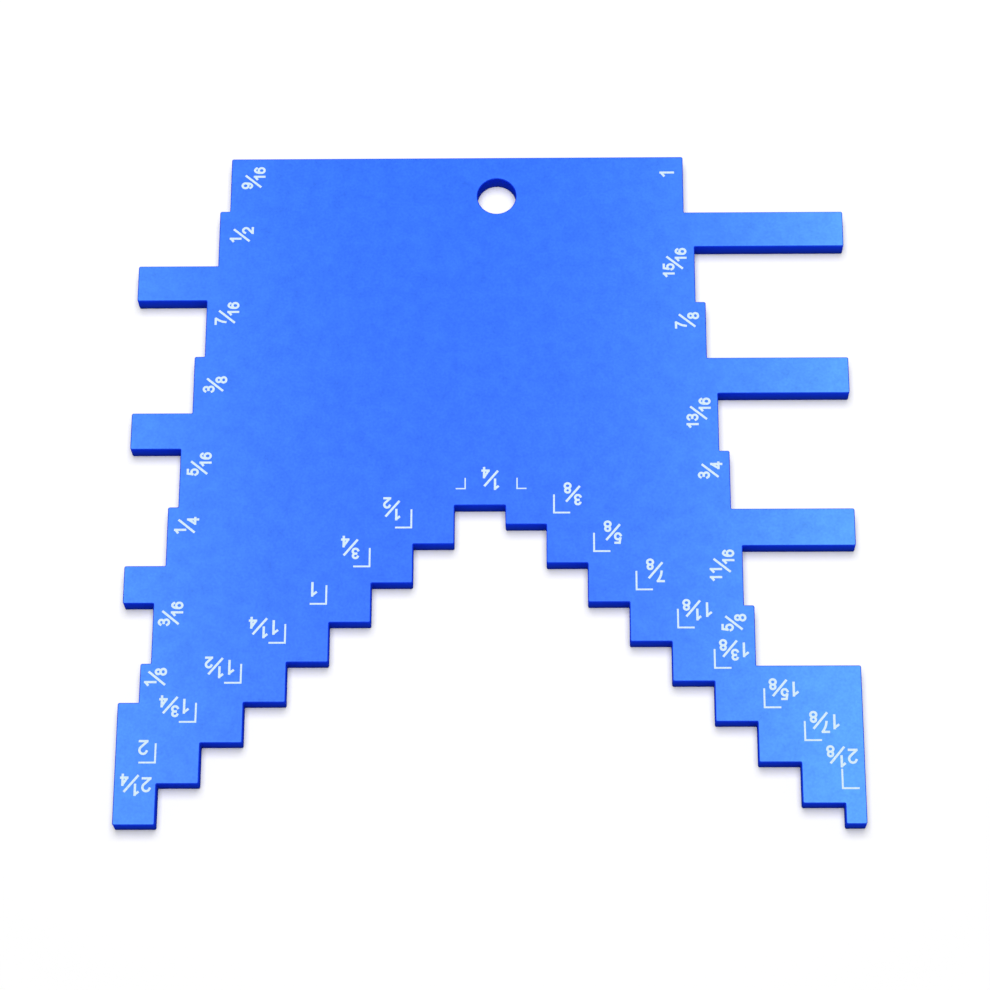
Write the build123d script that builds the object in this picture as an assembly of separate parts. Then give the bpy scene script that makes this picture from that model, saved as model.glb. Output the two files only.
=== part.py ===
# Table saw height gauge: one flat plate of blue anodised aluminium, cut to an inch scale all round.
# It lies on its back with the marked face up. X runs from the left tabs to the right ones, Y from
# the two feet to the hanging hole, and Z through the plate. The origin is on the back face, under
# the middle of the plate. Sizes are in millimetres, and the graduations are fractions of an inch.

import os

from build123d import *

# The plate, and how its edges are finished
plate_thickness = 3.0
edge_break = 0.12
inner_corner_radius = 0.15
outer_corner_radius = 0.3

# The router scales: lands in the two sides, each a sixteenth of an inch deeper than the one below
# it. A land's depth is its distance in from the line through the ends of that side's tabs.
depth_step = 1.5875
left_bottom_depth = 3.175
right_bottom_depth = 15.875
land_height = 9.65
tab_height = 6.1
left_leg_height = 19.05
left_bottom_land_height = 6.2
left_top_land_height = 9.4
right_leg_height = 24.7
full_land_count = 6
lands_per_tab_count = 2

# The saw scale: a stepped arch between the feet. The right flank has one step more than the left,
# and its steps lie half a rise off the left flank's, so the two together go in eighths of an inch.
step_run = 6.35
step_rise = 6.35
left_step_count = 7
right_flank_offset_share = 0.5
crown_width = 7.9
left_foot_width = 6.35
right_foot_width = 3.15

# The hanging hole, placed from the left tab ends and from the top edge
hole_diameter = 6.2
hole_from_left = 57.2
hole_from_top = 6.9

# The sizes that follow from these
right_step_count = left_step_count + 1
crown_height = right_step_count * step_rise
flanks_width = (left_step_count + right_step_count) * step_run
gauge_width = left_foot_width + flanks_width + crown_width + right_foot_width
tab_count = full_land_count // lands_per_tab_count
tabs_and_full_lands = full_land_count * land_height + tab_count * tab_height
left_lands_height = left_bottom_land_height + left_top_land_height + tabs_and_full_lands
gauge_height = left_leg_height + left_lands_height
right_top_land_height = gauge_height - right_leg_height - tabs_and_full_lands


def land_heights():
    """The heights of the lands in each side, from the lowest land up."""
    full_lands = [land_height] * full_land_count
    left = [left_bottom_land_height] + full_lands + [left_top_land_height]
    right = full_lands + [right_top_land_height]
    return left, right


def side_corners(leg_height, bottom_depth, heights):
    """The corners of one side, from its foot to the top edge: depth in from the tabs, and height."""
    corners = [(0, 0), (0, leg_height)]
    height = leg_height
    for index, land in enumerate(heights):
        depth = bottom_depth + index * depth_step
        corners.append((depth, height))
        height += land
        corners.append((depth, height))
        lands_so_far = index + 1
        if lands_so_far < len(heights) and lands_so_far % lands_per_tab_count == 0:
            corners.append((0, height))
            height += tab_height
            corners.append((0, height))
    return corners


def arch_corners():
    """The corners of the stepped arch, from the right foot over the crown to the left foot."""
    x = gauge_width - right_foot_width
    corners = [(x, 0)]
    for step in range(right_step_count):
        height = (step + right_flank_offset_share) * step_rise
        corners.append((x, height))
        x -= step_run
        corners.append((x, height))
    corners.append((x, crown_height))
    x -= crown_width
    corners.append((x, crown_height))
    for step in range(left_step_count, 0, -1):
        height = step * step_rise
        corners.append((x, height))
        x -= step_run
        corners.append((x, height))
    corners.append((x, 0))
    return corners


def outline_corners():
    """Every corner of the plate in turn: up the left side, down the right, then over the arch."""
    left_heights, right_heights = land_heights()
    left = side_corners(left_leg_height, left_bottom_depth, left_heights)
    right = side_corners(right_leg_height, right_bottom_depth, right_heights)
    right_from_top = [(gauge_width - depth, height) for depth, height in reversed(right)]
    return left + right_from_top + arch_corners()


def corner_radii(corners):
    """The radius at each corner: the cutter's in an inner corner, a slight one on an outer one."""
    radii = []
    for index, (x, y) in enumerate(corners):
        before_x, before_y = corners[index - 1]
        after_x, after_y = corners[(index + 1) % len(corners)]
        turn = (x - before_x) * (after_y - y) - (y - before_y) * (after_x - x)
        radii.append(inner_corner_radius if turn > 0 else outer_corner_radius)
    return radii


def gauge_plate():
    """The whole gauge: its outline with the hanging hole, cut through, and every edge broken."""
    corners = outline_corners()
    outline = FilletPolyline(*corners, radius=corner_radii(corners), close=True)
    hole_centre = (hole_from_left, gauge_height - hole_from_top)
    face = make_face(outline) - Pos(*hole_centre) * Circle(hole_diameter / 2)
    plate = extrude(face, plate_thickness, dir=(0, 0, 1))
    rims = plate.faces().filter_by(Axis.Z).edges()
    plate = chamfer(rims, edge_break)
    return Pos(-gauge_width / 2, -gauge_height / 2, 0) * plate


os.makedirs("parts", exist_ok=True)
export_step(gauge_plate(), "parts/gauge_plate.step")
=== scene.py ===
# The looks of the table saw height gauge: a plate anodised blue, with a white inch scale on its
# marked face, lying on a white table. Lengths are in metres, in the part's own frame: X runs from the
# left tabs to the right ones, Y from the feet to the hanging hole, and Z out of the marked face.

import functools
import math
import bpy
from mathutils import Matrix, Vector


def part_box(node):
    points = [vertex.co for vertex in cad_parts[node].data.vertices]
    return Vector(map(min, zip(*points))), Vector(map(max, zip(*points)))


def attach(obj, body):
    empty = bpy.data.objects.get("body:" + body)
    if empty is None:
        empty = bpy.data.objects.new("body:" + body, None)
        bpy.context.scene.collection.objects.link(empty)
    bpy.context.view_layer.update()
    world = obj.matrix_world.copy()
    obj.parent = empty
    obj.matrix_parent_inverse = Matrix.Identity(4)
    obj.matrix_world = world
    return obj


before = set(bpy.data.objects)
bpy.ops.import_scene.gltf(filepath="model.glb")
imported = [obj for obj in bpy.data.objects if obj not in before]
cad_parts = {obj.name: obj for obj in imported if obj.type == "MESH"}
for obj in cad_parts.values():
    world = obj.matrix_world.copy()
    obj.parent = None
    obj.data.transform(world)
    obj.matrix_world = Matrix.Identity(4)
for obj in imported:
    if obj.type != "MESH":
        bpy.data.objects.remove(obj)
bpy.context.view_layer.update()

from fractions import Fraction

import bmesh
import bpy
from mathutils import Matrix, Vector

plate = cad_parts["gauge_plate"]
plate_low, plate_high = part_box("gauge_plate")

mm = 0.001
inch = 25.4 * mm

# The plate's two sides, as signs along X
left = -1
right = 1

# The marking: how far it stands proud of the face and how far it bites in, and the pens that draw it.
# A line whose ends lie closer than one share of its pen is a ring, and points that lie closer than the
# other share are welded.
marking_proud = 0.02 * mm
marking_bite = 0.01 * mm
digit_pen = 0.36 * mm
slash_pen = 0.36 * mm
bracket_pen = 0.28 * mm
crown_bracket_pen = 0.20 * mm
ring_gap_share = 0.1
weld_share = 0.01

# The numbers. Their digits stand in cells of one width, in which a 1 is moved a little to the right. A
# slash reaches as far each way from its middle, and the corners are lower left ones, measured from
# that middle. A denominator of two digits starts further left. After a whole number, and in 1/8, the
# denominator stands higher and a little to the right.
digit_height = 1.90 * mm
whole_height = 2.35 * mm
digit_pitch = 1.30 * mm
one_inset_share = 0.055
slash_reach = Vector((0.95, 1.15)) * mm
whole_corner = Vector((-3.05, -0.98)) * mm
numerator_corner = Vector((-1.40, 0.02)) * mm
denominator_corner = Vector((0.20, -1.92)) * mm
wide_denominator_corner = Vector((0.05, -1.92)) * mm
raised_denominator_corner = Vector((0.40, -1.53)) * mm

# The brackets beside the saw scale's numbers: an L whose corner points at its step, and a finer pair
# at the crown
bracket_height = 2.86 * mm
bracket_width = 2.36 * mm
crown_bracket_height = 1.68 * mm
crown_bracket_width = 1.36 * mm

# The depth scales. A number says how deep its land lies behind the tab ends of its side. Beside that
# stand how far in from its land's edge it lies, and how far up from the feet, in millimetres.
left_depth_numbers = [
    ("9/16", 3.6, 106.8), ("1/2", 3.6, 97.2), ("7/16", 3.3, 82.9), ("3/8", 3.4, 71.2),
    ("5/16", 3.0, 57.2), ("1/4", 3.0, 47.5), ("3/16", 2.7, 32.6), ("1/8", 2.6, 22.9),
]
right_depth_numbers = [
    ("1", 2.6, 107.7), ("15/16", 3.2, 92.0), ("7/8", 3.0, 81.9), ("13/16", 3.1, 66.1),
    ("3/4", 3.1, 56.4), ("11/16", 3.2, 40.8), ("5/8", 3.2, 31.5),
]

# The saw scale. A number says how far its step lies below the scale's top, and each flank rises at 45
# degrees, so a step's corner lies as far in from its side as it is high. The step's bracket has its
# corner a little further out and up, by the two distances beside the number, in millimetres.
saw_scale_top = 2.25 * inch
left_flank = [
    ("1/2", 0.3, 2.7), ("3/4", 0.3, 2.7), ("1", 0.5, 3.0), ("1 1/4", 0.3, 3.1),
    ("1 1/2", 0.5, 3.1), ("1 3/4", 0.8, 3.3), ("2", 0.3, 3.3),
]
right_flank = [
    ("3/8", 1.2, 1.9), ("5/8", 1.0, 1.9), ("7/8", 1.1, 2.0), ("1 1/8", 1.0, 2.2),
    ("1 3/8", 0.1, 2.1), ("1 5/8", 1.1, 2.2), ("1 7/8", 0.7, 3.4), ("2 1/8", -0.3, 2.3),
]
flanks = ((left, left_flank), (right, right_flank))

# How far out and up from its bracket's corner a number stands, by its slash's middle or else its own
fraction_offset = Vector((2.95, 3.10)) * mm
whole_offset = Vector((1.85, 2.35)) * mm
left_mixed_offset = Vector((3.90, 2.65)) * mm
right_mixed_offset = Vector((2.35, 3.05)) * mm

# Each foot's number keeps its own place, in from its side and up, in millimetres. The crown's number
# stands close to the middle of the plate, between its two brackets.
foot_numbers = {"2 1/4": (left, 2.6, 6.4), "2 1/8": (right, 4.1, 10.6)}
crown_number = "1/4"
crown_place = Vector((0.15 * mm, -0.20 * mm, plate_high.z))
crown_bracket_offset = Vector((4.03, -1.68)) * mm

# Which way the scales read: up the plate at its two sides, and with the feet in the air at the arch
side_reading = math.radians(90)
arch_reading = math.radians(180)

# The camera stands on the feet's side and looks down at the middle of the plate
camera_place = Vector((8.9, -169.1, 442.6)) * mm
camera_turn = (math.radians(20.704), math.radians(1.0), math.radians(0.161))
camera_lens = 110.2
camera_sensor = 36.0

# The blue dye. The face is deepest by the hanging hole and grows lighter towards the tabs and feet,
# faster across the plate than along it: this lightening is painted light, a painted sheen in the
# colour. The face is also a little redder towards the feet. It has a soft mottle and the bead blast's
# fine grain.
near_face_colour = (0.052, 0.172, 0.95, 1)
far_face_colour = (0.041, 0.172, 0.95, 1)
sheen_face_colour = (0.104, 0.352, 0.95, 1)
# The cut edges are a deeper blue, partly their own dye and partly painted shade. They are darker
# towards the back, which is painted shade where the table's shadow lies at their foot. The broken rims
# take mostly the cut edges' colour.
front_edge_colour = (0.006, 0.046, 0.92, 1)
back_edge_shade_colour = (0.009, 0.030, 0.29, 1)
cut_edge_sharpness = 8
sheen_middle = Vector((-8, 56, 0)) * mm
sheen_reach = 65 * mm
sheen_scale = Vector((1, 0.24, 0))
sheen_power = 2.5
cloud_size = 2.5 * mm
cloud_detail = 3
cloud_share = 0.14
grain_size = 0.35 * mm
grain_detail = 2
grain_share = 0.16
grain_depth = 0.006 * mm
grain_bump = 0.2
dye_roughness = 0.55
dye_metal_share = 0.1
dye_gloss_tint = (0.1, 0.3, 1.0, 1)

# The span that most of the noise lies in, which is spread out to run from 0 to 1
noise_low = 0.3
noise_high = 0.7

# The white ink, a little thinner in places
full_ink_colour = (0.78, 0.92, 0.98, 1)
thin_ink_colour = (0.60, 0.80, 0.95, 1)
speckle_size = 0.3 * mm
speckle_detail = 2
ink_roughness = 0.6
ink_gloss = 0.2

# The table and the light. Where the table is seen, it is lifted a little under the lamp, and the lift
# grows between two distances from the middle of the plate, to plain white.
white = (1, 1, 1, 1)
table_colour = (0.97, 0.97, 0.97, 1)
table_roughness = 0.9
table_size = 4.0
table_lift = 0.08
lift_grows_from = 0.1
lift_grows_to = 1.2
lamp_height = 1.0
lamp_width = 0.62
lamp_length = 0.95
lamp_y = 0.12
lamp_watts = 11.2
sky_strength = 0.06

# How many degrees of an arc lie between two of its points
arc_step = 12


def arc(centre, radii, start, end):
    """Points along an arc, in shares of a digit's height, between two angles in degrees from +X."""
    steps = round(abs(end - start) / arc_step)
    angles = [math.radians(start + (end - start) * step / steps) for step in range(steps + 1)]
    return [(centre[0] + radii[0] * math.cos(a), centre[1] + radii[1] * math.sin(a)) for a in angles]


# Each digit's pen strokes. Their points are shares of its height between the middles of its lowest
# and highest strokes, from the bottom left.
stroke_shares = {
    "1": [[(0.28, 0.0), (0.28, 1.0)], [(0.25, 0.95), (0.0, 0.75)]],
    "2": [
        arc((0.31, 0.70), (0.28, 0.30), 160, -42) + [(0.06, 0.06)],
        [(0.02, 0.0), (0.58, 0.0)],
    ],
    "3": [
        arc((0.28, 0.765), (0.25, 0.235), 160, -105),
        arc((0.28, 0.265), (0.28, 0.265), 105, -160),
    ],
    "4": [
        [(0.45, 0.0), (0.45, 1.0)],
        [(0.43, 0.95), (0.03, 0.33)],
        [(0.0, 0.28), (0.60, 0.28)],
    ],
    "5": [
        [(0.54, 1.0), (0.13, 1.0), (0.06, 0.52)],
        arc((0.29, 0.32), (0.29, 0.32), 136, -160),
    ],
    "6": [
        arc((0.30, 0.31), (0.28, 0.31), -180, 180),
        arc((0.32, 0.50), (0.30, 0.50), 42, 180) + [(0.02, 0.31)],
    ],
    "7": [
        [(0.0, 1.0), (0.56, 1.0)],
        [(0.58, 0.96), (0.38, 0.64), (0.25, 0.32), (0.20, 0.0)],
    ],
    "8": [
        arc((0.30, 0.265), (0.29, 0.265), -180, 180),
        arc((0.30, 0.765), (0.24, 0.235), -180, 180),
    ],
    "9": [
        arc((0.30, 0.69), (0.28, 0.31), -180, 180),
        [(0.58, 0.69)] + arc((0.28, 0.50), (0.30, 0.50), 0, -138),
    ],
}


def in_scene(name, data):
    """An object in the scene with a mesh, a lamp or a camera as its data."""
    made = bpy.data.objects.new(name, data)
    bpy.context.scene.collection.objects.link(made)
    return made


def new_object(name, shape):
    """An object in the scene with the shape as its mesh."""
    mesh = bpy.data.meshes.new(name)
    shape.to_mesh(mesh)
    shape.free()
    return in_scene(name, mesh)


def flat_strip(points, pen):
    """A flat strip along a row of points, as wide as the pen, with square ends or closed to a ring."""
    path = [Vector((x, y, 0)) for x, y in points]
    ways = [(after - before).normalized() for before, after in zip(path, path[1:])]
    if (path[0] - path[-1]).length < pen * ring_gap_share:
        ways = [ways[-1]] + ways + [ways[0]]
    else:
        path[0] = path[0] - ways[0] * pen / 2
        path[-1] = path[-1] + ways[-1] * pen / 2
        ways = [ways[0]] + ways + [ways[-1]]
    # The grid runs from -1 to 1, with one pair of corners for each point of the path
    strip = bmesh.new()
    bmesh.ops.create_grid(strip, x_segments=len(path) - 1, y_segments=1, size=1)
    for vert in strip.verts:
        index = round((vert.co.x + 1) / 2 * (len(path) - 1))
        along = (ways[index] + ways[index + 1]).normalized()
        half_width = pen / 2 / along.dot(ways[index + 1])
        across = Vector((-along.y, along.x, 0))
        vert.co = path[index] + across * half_width * math.copysign(1, vert.co.y)
    bmesh.ops.remove_doubles(strip, verts=strip.verts, dist=pen * weld_share)
    return strip


def pen_line(points, pen):
    """A closed slab along a row of points, from a bite below the face to a little proud of it."""
    slab = flat_strip(points, pen)
    bmesh.ops.translate(slab, verts=slab.verts, vec=(0, 0, -marking_bite))
    grown = bmesh.ops.extrude_face_region(slab, geom=slab.faces[:], use_keep_orig=True)["geom"]
    top = [item for item in grown if isinstance(item, bmesh.types.BMVert)]
    bmesh.ops.translate(slab, verts=top, vec=(0, 0, marking_bite + marking_proud))
    bmesh.ops.recalc_face_normals(slab, faces=slab.faces)
    return new_object("pen_line", slab)


def joined(lines):
    """One mesh made of pen lines that cross or meet, with nothing left inside it."""
    whole = lines[0]
    for line in lines[1:]:
        join = whole.modifiers.new("join", "BOOLEAN")
        join.operation = "UNION"
        join.solver = "EXACT"
        join.object = line
    bpy.context.view_layer.update()
    evaluated = whole.evaluated_get(bpy.context.evaluated_depsgraph_get())
    mesh = bpy.data.meshes.new_from_object(evaluated)
    for line in lines:
        bpy.data.objects.remove(line)
    return mesh


@functools.cache
def digit_mesh(digit, height):
    """A digit whose lowest and leftmost points lie on the axes."""
    reach = height - digit_pen
    lines = []
    for stroke in stroke_shares[digit]:
        lines.append(pen_line([(x * reach, y * reach) for x, y in stroke], digit_pen))
    mesh = joined(lines)
    leftmost = min(vert.co.x for vert in mesh.vertices)
    lowest = min(vert.co.y for vert in mesh.vertices)
    mesh.transform(Matrix.Translation((-leftmost, -lowest, 0)))
    return mesh


def width_of(mesh):
    """How far a mesh reaches from the Y axis."""
    return max(vert.co.x for vert in mesh.vertices)


def add_mesh(shape, mesh, placing):
    """Adds a mesh to the shape, moved and turned by the placing."""
    count = len(shape.verts)
    shape.from_mesh(mesh)
    shape.verts.ensure_lookup_table()
    bmesh.ops.transform(shape, matrix=placing, verts=shape.verts[count:])


def add_digits(shape, text, corner, height, placing):
    """Adds a row of digits, each in its cell, from the lower left corner of the first cell."""
    for index, digit in enumerate(text):
        inset = one_inset_share * height if digit == "1" else 0
        x = corner.x + index * digit_pitch + inset
        add_mesh(shape, digit_mesh(digit, height), placing @ Matrix.Translation((x, corner.y, 0)))


def add_whole(shape, digit, placing):
    """Adds a whole number of one digit, by its own middle."""
    mesh = digit_mesh(digit, whole_height)
    corner = Vector((-width_of(mesh) / 2, -whole_height / 2, 0))
    add_mesh(shape, mesh, placing @ Matrix.Translation(corner))


def add_fraction(shape, whole, fraction, placing):
    """Adds a fraction by its slash's middle, with the whole number before it if it has one."""
    numerator, denominator = fraction.split("/")
    first_corner = numerator_corner - Vector((digit_pitch, 0)) * (len(numerator) - 1)
    last_corner = denominator_corner
    if whole or fraction == "1/8":
        last_corner = raised_denominator_corner
    elif len(denominator) > 1:
        last_corner = wide_denominator_corner
    add_digits(shape, whole, whole_corner, whole_height, placing)
    add_digits(shape, numerator, first_corner, digit_height, placing)
    add_digits(shape, denominator, last_corner, digit_height, placing)
    add_mesh(shape, joined([pen_line([-slash_reach, slash_reach], slash_pen)]), placing)


def add_number(shape, text, place, reading):
    """Adds a whole, mixed or fractional number at a place, turned to the way that it reads."""
    placing = Matrix.Translation(place) @ Matrix.Rotation(reading, 4, "Z")
    if "/" in text:
        whole, fraction = text.split() if " " in text else ("", text)
        add_fraction(shape, whole, fraction, placing)
    else:
        add_whole(shape, text, placing)


def length_said(text):
    """The length that a number says in inches, such as 1 3/8."""
    return sum(Fraction(word) for word in text.split()) * inch


def on_face(side, inward, up):
    """The point of the marked face so far in from its left or right side and up from the feet."""
    return Vector((side * (plate_high.x - inward), plate_low.y + up, plate_high.z))


def depth_scale(name, side, numbers):
    """One side's depth numbers as one piece, each beside its land."""
    shape = bmesh.new()
    for text, inset, up in numbers:
        place = on_face(side, length_said(text) + inset * mm, up * mm)
        add_number(shape, text, place, side_reading)
    return new_object(name, shape)


def bracket_corner(side, text, outward, upward):
    """Where a flank's bracket has its corner: so far outward and upward from its step's corner."""
    step_height = saw_scale_top - length_said(text)
    return on_face(side, step_height - outward * mm, step_height + upward * mm)


def number_offset(side, text):
    """The way from a bracket's corner to its number."""
    if "/" not in text:
        offset = whole_offset
    elif " " not in text:
        offset = fraction_offset
    else:
        offset = left_mixed_offset if side == left else right_mixed_offset
    return Vector((side * offset.x, offset.y, 0))


def saw_scale():
    """The saw scale's numbers as one piece: down both flanks, on the feet and at the crown."""
    shape = bmesh.new()
    for side, flank in flanks:
        for text, outward, upward in flank:
            if text not in foot_numbers:
                corner = bracket_corner(side, text, outward, upward)
                add_number(shape, text, corner + number_offset(side, text), arch_reading)
    for text, (side, inward, up) in foot_numbers.items():
        add_number(shape, text, on_face(side, inward * mm, up * mm), arch_reading)
    add_number(shape, crown_number, crown_place, arch_reading)
    return new_object("saw_height_numbers", shape)


def add_bracket(shape, corner, height, width, pen):
    """An L on the marked face: up from its corner, and sideways from it by a width that has a sign."""
    line = pen_line([(0, height), (0, 0), (width, 0)], pen)
    add_mesh(shape, joined([line]), Matrix.Translation(corner))


def arch_brackets():
    """The brackets along both flanks of the arch and the finer pair at its crown, as one piece."""
    shape = bmesh.new()
    for side, flank in flanks:
        for text, outward, upward in flank:
            corner = bracket_corner(side, text, outward, upward)
            add_bracket(shape, corner, bracket_height, side * bracket_width, bracket_pen)
        across, up = crown_bracket_offset
        corner = crown_place + Vector((side * across, up, 0))
        width = side * crown_bracket_width
        add_bracket(shape, corner, crown_bracket_height, width, crown_bracket_pen)
    return new_object("arch_brackets", shape)


def blank_material(name):
    """A new node material, its node tree and its Principled shader."""
    material = bpy.data.materials.new(name)
    material.use_nodes = True
    tree = material.node_tree
    return material, tree, tree.nodes["Principled BSDF"]


def place_node(tree):
    """Where each point of a piece lies."""
    return tree.nodes.new("ShaderNodeTexCoord").outputs["Object"]


def facing_node(tree):
    """Which way the surface of a piece faces at each point."""
    return tree.nodes.new("ShaderNodeTexCoord").outputs["Normal"]


def parts_of(tree, vector):
    """A vector's parts along X, Y and Z."""
    made = tree.nodes.new("ShaderNodeSeparateXYZ")
    tree.links.new(vector, made.inputs["Vector"])
    return made.outputs


def length_of(tree, vector):
    """A vector's length."""
    made = tree.nodes.new("ShaderNodeVectorMath")
    made.operation = "LENGTH"
    tree.links.new(vector, made.inputs[0])
    return made.outputs["Value"]


def math_node(tree, operation, value, other=0):
    """A Math node that works on a socket's value and another one's, or a fixed number."""
    made = tree.nodes.new("ShaderNodeMath")
    made.operation = operation
    tree.links.new(value, made.inputs[0])
    if isinstance(other, bpy.types.NodeSocket):
        tree.links.new(other, made.inputs[1])
    else:
        made.inputs[1].default_value = other
    return made.outputs["Value"]


def spread_node(tree, value, low, high, start=0):
    """A value spread out, so that low and what is under it give the start, and high and over give 1."""
    made = tree.nodes.new("ShaderNodeMapRange")
    made.inputs["From Min"].default_value = low
    made.inputs["From Max"].default_value = high
    made.inputs["To Min"].default_value = start
    tree.links.new(value, made.inputs["Value"])
    return made.outputs["Result"]


def mix_node(tree, factor, first, second):
    """A colour mix of two sockets or fixed colours."""
    made = tree.nodes.new("ShaderNodeMix")
    made.data_type = "RGBA"
    tree.links.new(factor, made.inputs["Factor"])
    for name, colour in (("A", first), ("B", second)):
        socket = next(s for s in made.inputs if s.name == name and s.type == "RGBA")
        if isinstance(colour, tuple):
            socket.default_value = colour
        else:
            tree.links.new(colour, socket)
    return next(s for s in made.outputs if s.type == "RGBA")


def noise_node(tree, place, feature_size, detail):
    """Noise from 0 to 1 whose features are about the given size."""
    made = tree.nodes.new("ShaderNodeTexNoise")
    made.inputs["Scale"].default_value = 1 / feature_size
    made.inputs["Detail"].default_value = detail
    tree.links.new(place, made.inputs["Vector"])
    return spread_node(tree, made.outputs["Fac"], noise_low, noise_high)


def mottled(tree, colour, noise, share):
    """A colour that grows darker and lighter with the noise, by the given share from end to end."""
    made = tree.nodes.new("ShaderNodeHueSaturation")
    level = math_node(tree, "ADD", math_node(tree, "MULTIPLY", noise, share), 1 - share / 2)
    tree.links.new(level, made.inputs["Value"])
    tree.links.new(colour, made.inputs["Color"])
    return made.outputs["Color"]


def sheen_outness(tree, place):
    """How far out from the painted sheen's middle a point lies: 0 at the middle, and 1 at the sheen's
    reach.
    """
    sheen = tree.nodes.new("ShaderNodeMapping")
    sheen.inputs["Location"].default_value = -sheen_middle / sheen_reach * sheen_scale
    sheen.inputs["Scale"].default_value = sheen_scale / sheen_reach
    tree.links.new(place, sheen.inputs["Vector"])
    return math_node(tree, "POWER", length_of(tree, sheen.outputs["Vector"]), sheen_power)


def face_dye_and_sheen(tree, place, grain):
    """The dye on the two faces, lightened out towards the tabs and feet by a painted sheen, with the
    soft mottle and the grain.
    """
    farness = spread_node(tree, parts_of(tree, place)["Y"], plate_low.y, plate_high.y)
    deep = mix_node(tree, farness, near_face_colour, far_face_colour)
    # The painted sheen: the face's colour grows lighter out from the sheen's middle
    plain = mix_node(tree, sheen_outness(tree, place), deep, sheen_face_colour)
    cloud = noise_node(tree, place, cloud_size, cloud_detail)
    return mottled(tree, mottled(tree, plain, cloud, cloud_share), grain, grain_share)


def cut_edge_dye_and_shade(tree, place):
    """The cut edges' colour: partly their dye and partly painted shade, with painted shade making it
    darker towards the back.
    """
    height_share = math_node(tree, "DIVIDE", parts_of(tree, place)["Z"], plate_high.z)
    return mix_node(tree, height_share, back_edge_shade_colour, front_edge_colour)


def flatness(tree):
    """1 on the two faces, and 0 on the upright cut edges. The broken rims lie between."""
    turned_up = math_node(tree, "ABSOLUTE", parts_of(tree, facing_node(tree))["Z"])
    return math_node(tree, "POWER", turned_up, cut_edge_sharpness)


def anodised_blue():
    """Bead-blasted aluminium dyed blue: deep on its cut edges, partly with painted shade, and lighter
    out at the tabs and feet with a painted sheen.
    """
    material, tree, shader = blank_material("anodised_blue")
    place = place_node(tree)
    grain = noise_node(tree, place, grain_size, grain_detail)
    face = face_dye_and_sheen(tree, place, grain)
    # The faces' colour with its painted sheen, and the cut edges' colour with its painted shade
    dye = mix_node(tree, flatness(tree), cut_edge_dye_and_shade(tree, place), face)
    tree.links.new(dye, shader.inputs["Base Color"])
    bump = tree.nodes.new("ShaderNodeBump")
    bump.inputs["Strength"].default_value = grain_bump
    bump.inputs["Distance"].default_value = grain_depth
    tree.links.new(grain, bump.inputs["Height"])
    tree.links.new(bump.outputs["Normal"], shader.inputs["Normal"])
    shader.inputs["Roughness"].default_value = dye_roughness
    shader.inputs["Metallic"].default_value = dye_metal_share
    shader.inputs["Specular IOR Level"].default_value = 0
    shader.inputs["Specular Tint"].default_value = dye_gloss_tint
    return material


def white_ink():
    """The scale's marking: a flat white with a breath of blue from the dye round it."""
    material, tree, shader = blank_material("white_ink")
    speckle = noise_node(tree, place_node(tree), speckle_size, speckle_detail)
    tone = mix_node(tree, speckle, thin_ink_colour, full_ink_colour)
    tree.links.new(tone, shader.inputs["Base Color"])
    shader.inputs["Roughness"].default_value = ink_roughness
    shader.inputs["Specular IOR Level"].default_value = ink_gloss
    return material


def seen_share(tree):
    """1 for the rays that see a surface, by the camera, in a reflection or through glass, else 0."""
    rays = tree.nodes.new("ShaderNodeLightPath")
    share = rays.outputs["Is Camera Ray"]
    for name in ("Is Glossy Ray", "Is Transmission Ray"):
        share = math_node(tree, "MAXIMUM", share, rays.outputs[name])
    return share


def white_table():
    """A white table that keeps the plate's shadow. Where it is seen it is lifted to plain white: a
    little under the lamp, and all the way where the lamp's light has faded."""
    material, tree, shader = blank_material("white_table")
    away = length_of(tree, place_node(tree))
    growing_lift = spread_node(tree, away, lift_grows_from, lift_grows_to, table_lift)
    seen_lift = math_node(tree, "MULTIPLY", seen_share(tree), growing_lift)
    tree.links.new(seen_lift, shader.inputs["Emission Strength"])
    shader.inputs["Emission Color"].default_value = white
    shader.inputs["Base Color"].default_value = table_colour
    shader.inputs["Roughness"].default_value = table_roughness
    shader.inputs["Specular IOR Level"].default_value = 0
    return material


def make_table():
    """The white table under the plate."""
    shape = bmesh.new()
    bmesh.ops.create_grid(shape, x_segments=1, y_segments=1, size=table_size / 2)
    bmesh.ops.translate(shape, verts=shape.verts, vec=(0, 0, plate_low.z))
    table = new_object("table", shape)
    table.data.materials.append(white_table())


def make_lamp():
    """A wide soft lamp overhead."""
    lamp = bpy.data.lights.new("overhead", "AREA")
    lamp.shape = "RECTANGLE"
    lamp.size = lamp_width
    lamp.size_y = lamp_length
    lamp.energy = lamp_watts
    in_scene("overhead", lamp).location = (0, lamp_y, lamp_height)


def make_sky():
    """A faint even sky, which is plain white where it is seen."""
    world = bpy.data.worlds.new("surround")
    world.use_nodes = True
    tree = world.node_tree
    sky = tree.nodes["Background"]
    sky.inputs["Color"].default_value = white
    rest_of_white = math_node(tree, "MULTIPLY", seen_share(tree), 1 - sky_strength)
    strength = math_node(tree, "ADD", rest_of_white, sky_strength)
    tree.links.new(strength, sky.inputs["Strength"])
    bpy.context.scene.world = world


def make_camera():
    """The camera, at the photograph's place and angle."""
    lens = bpy.data.cameras.new("camera")
    lens.lens = camera_lens
    lens.sensor_width = camera_sensor
    camera = in_scene("camera", lens)
    camera.location = camera_place
    camera.rotation_euler = camera_turn
    bpy.context.scene.camera = camera


marking = white_ink()
pieces = [
    depth_scale("left_depth_numbers", left, left_depth_numbers),
    depth_scale("right_depth_numbers", right, right_depth_numbers),
    saw_scale(),
    arch_brackets(),
]
for piece in pieces:
    piece.data.materials.append(marking)
    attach(piece, "root")

plate.data.materials.clear()
plate.data.materials.append(anodised_blue())

make_table()
make_lamp()
make_sky()
make_camera()
bpy.context.scene.view_settings.view_transform = "Standard"
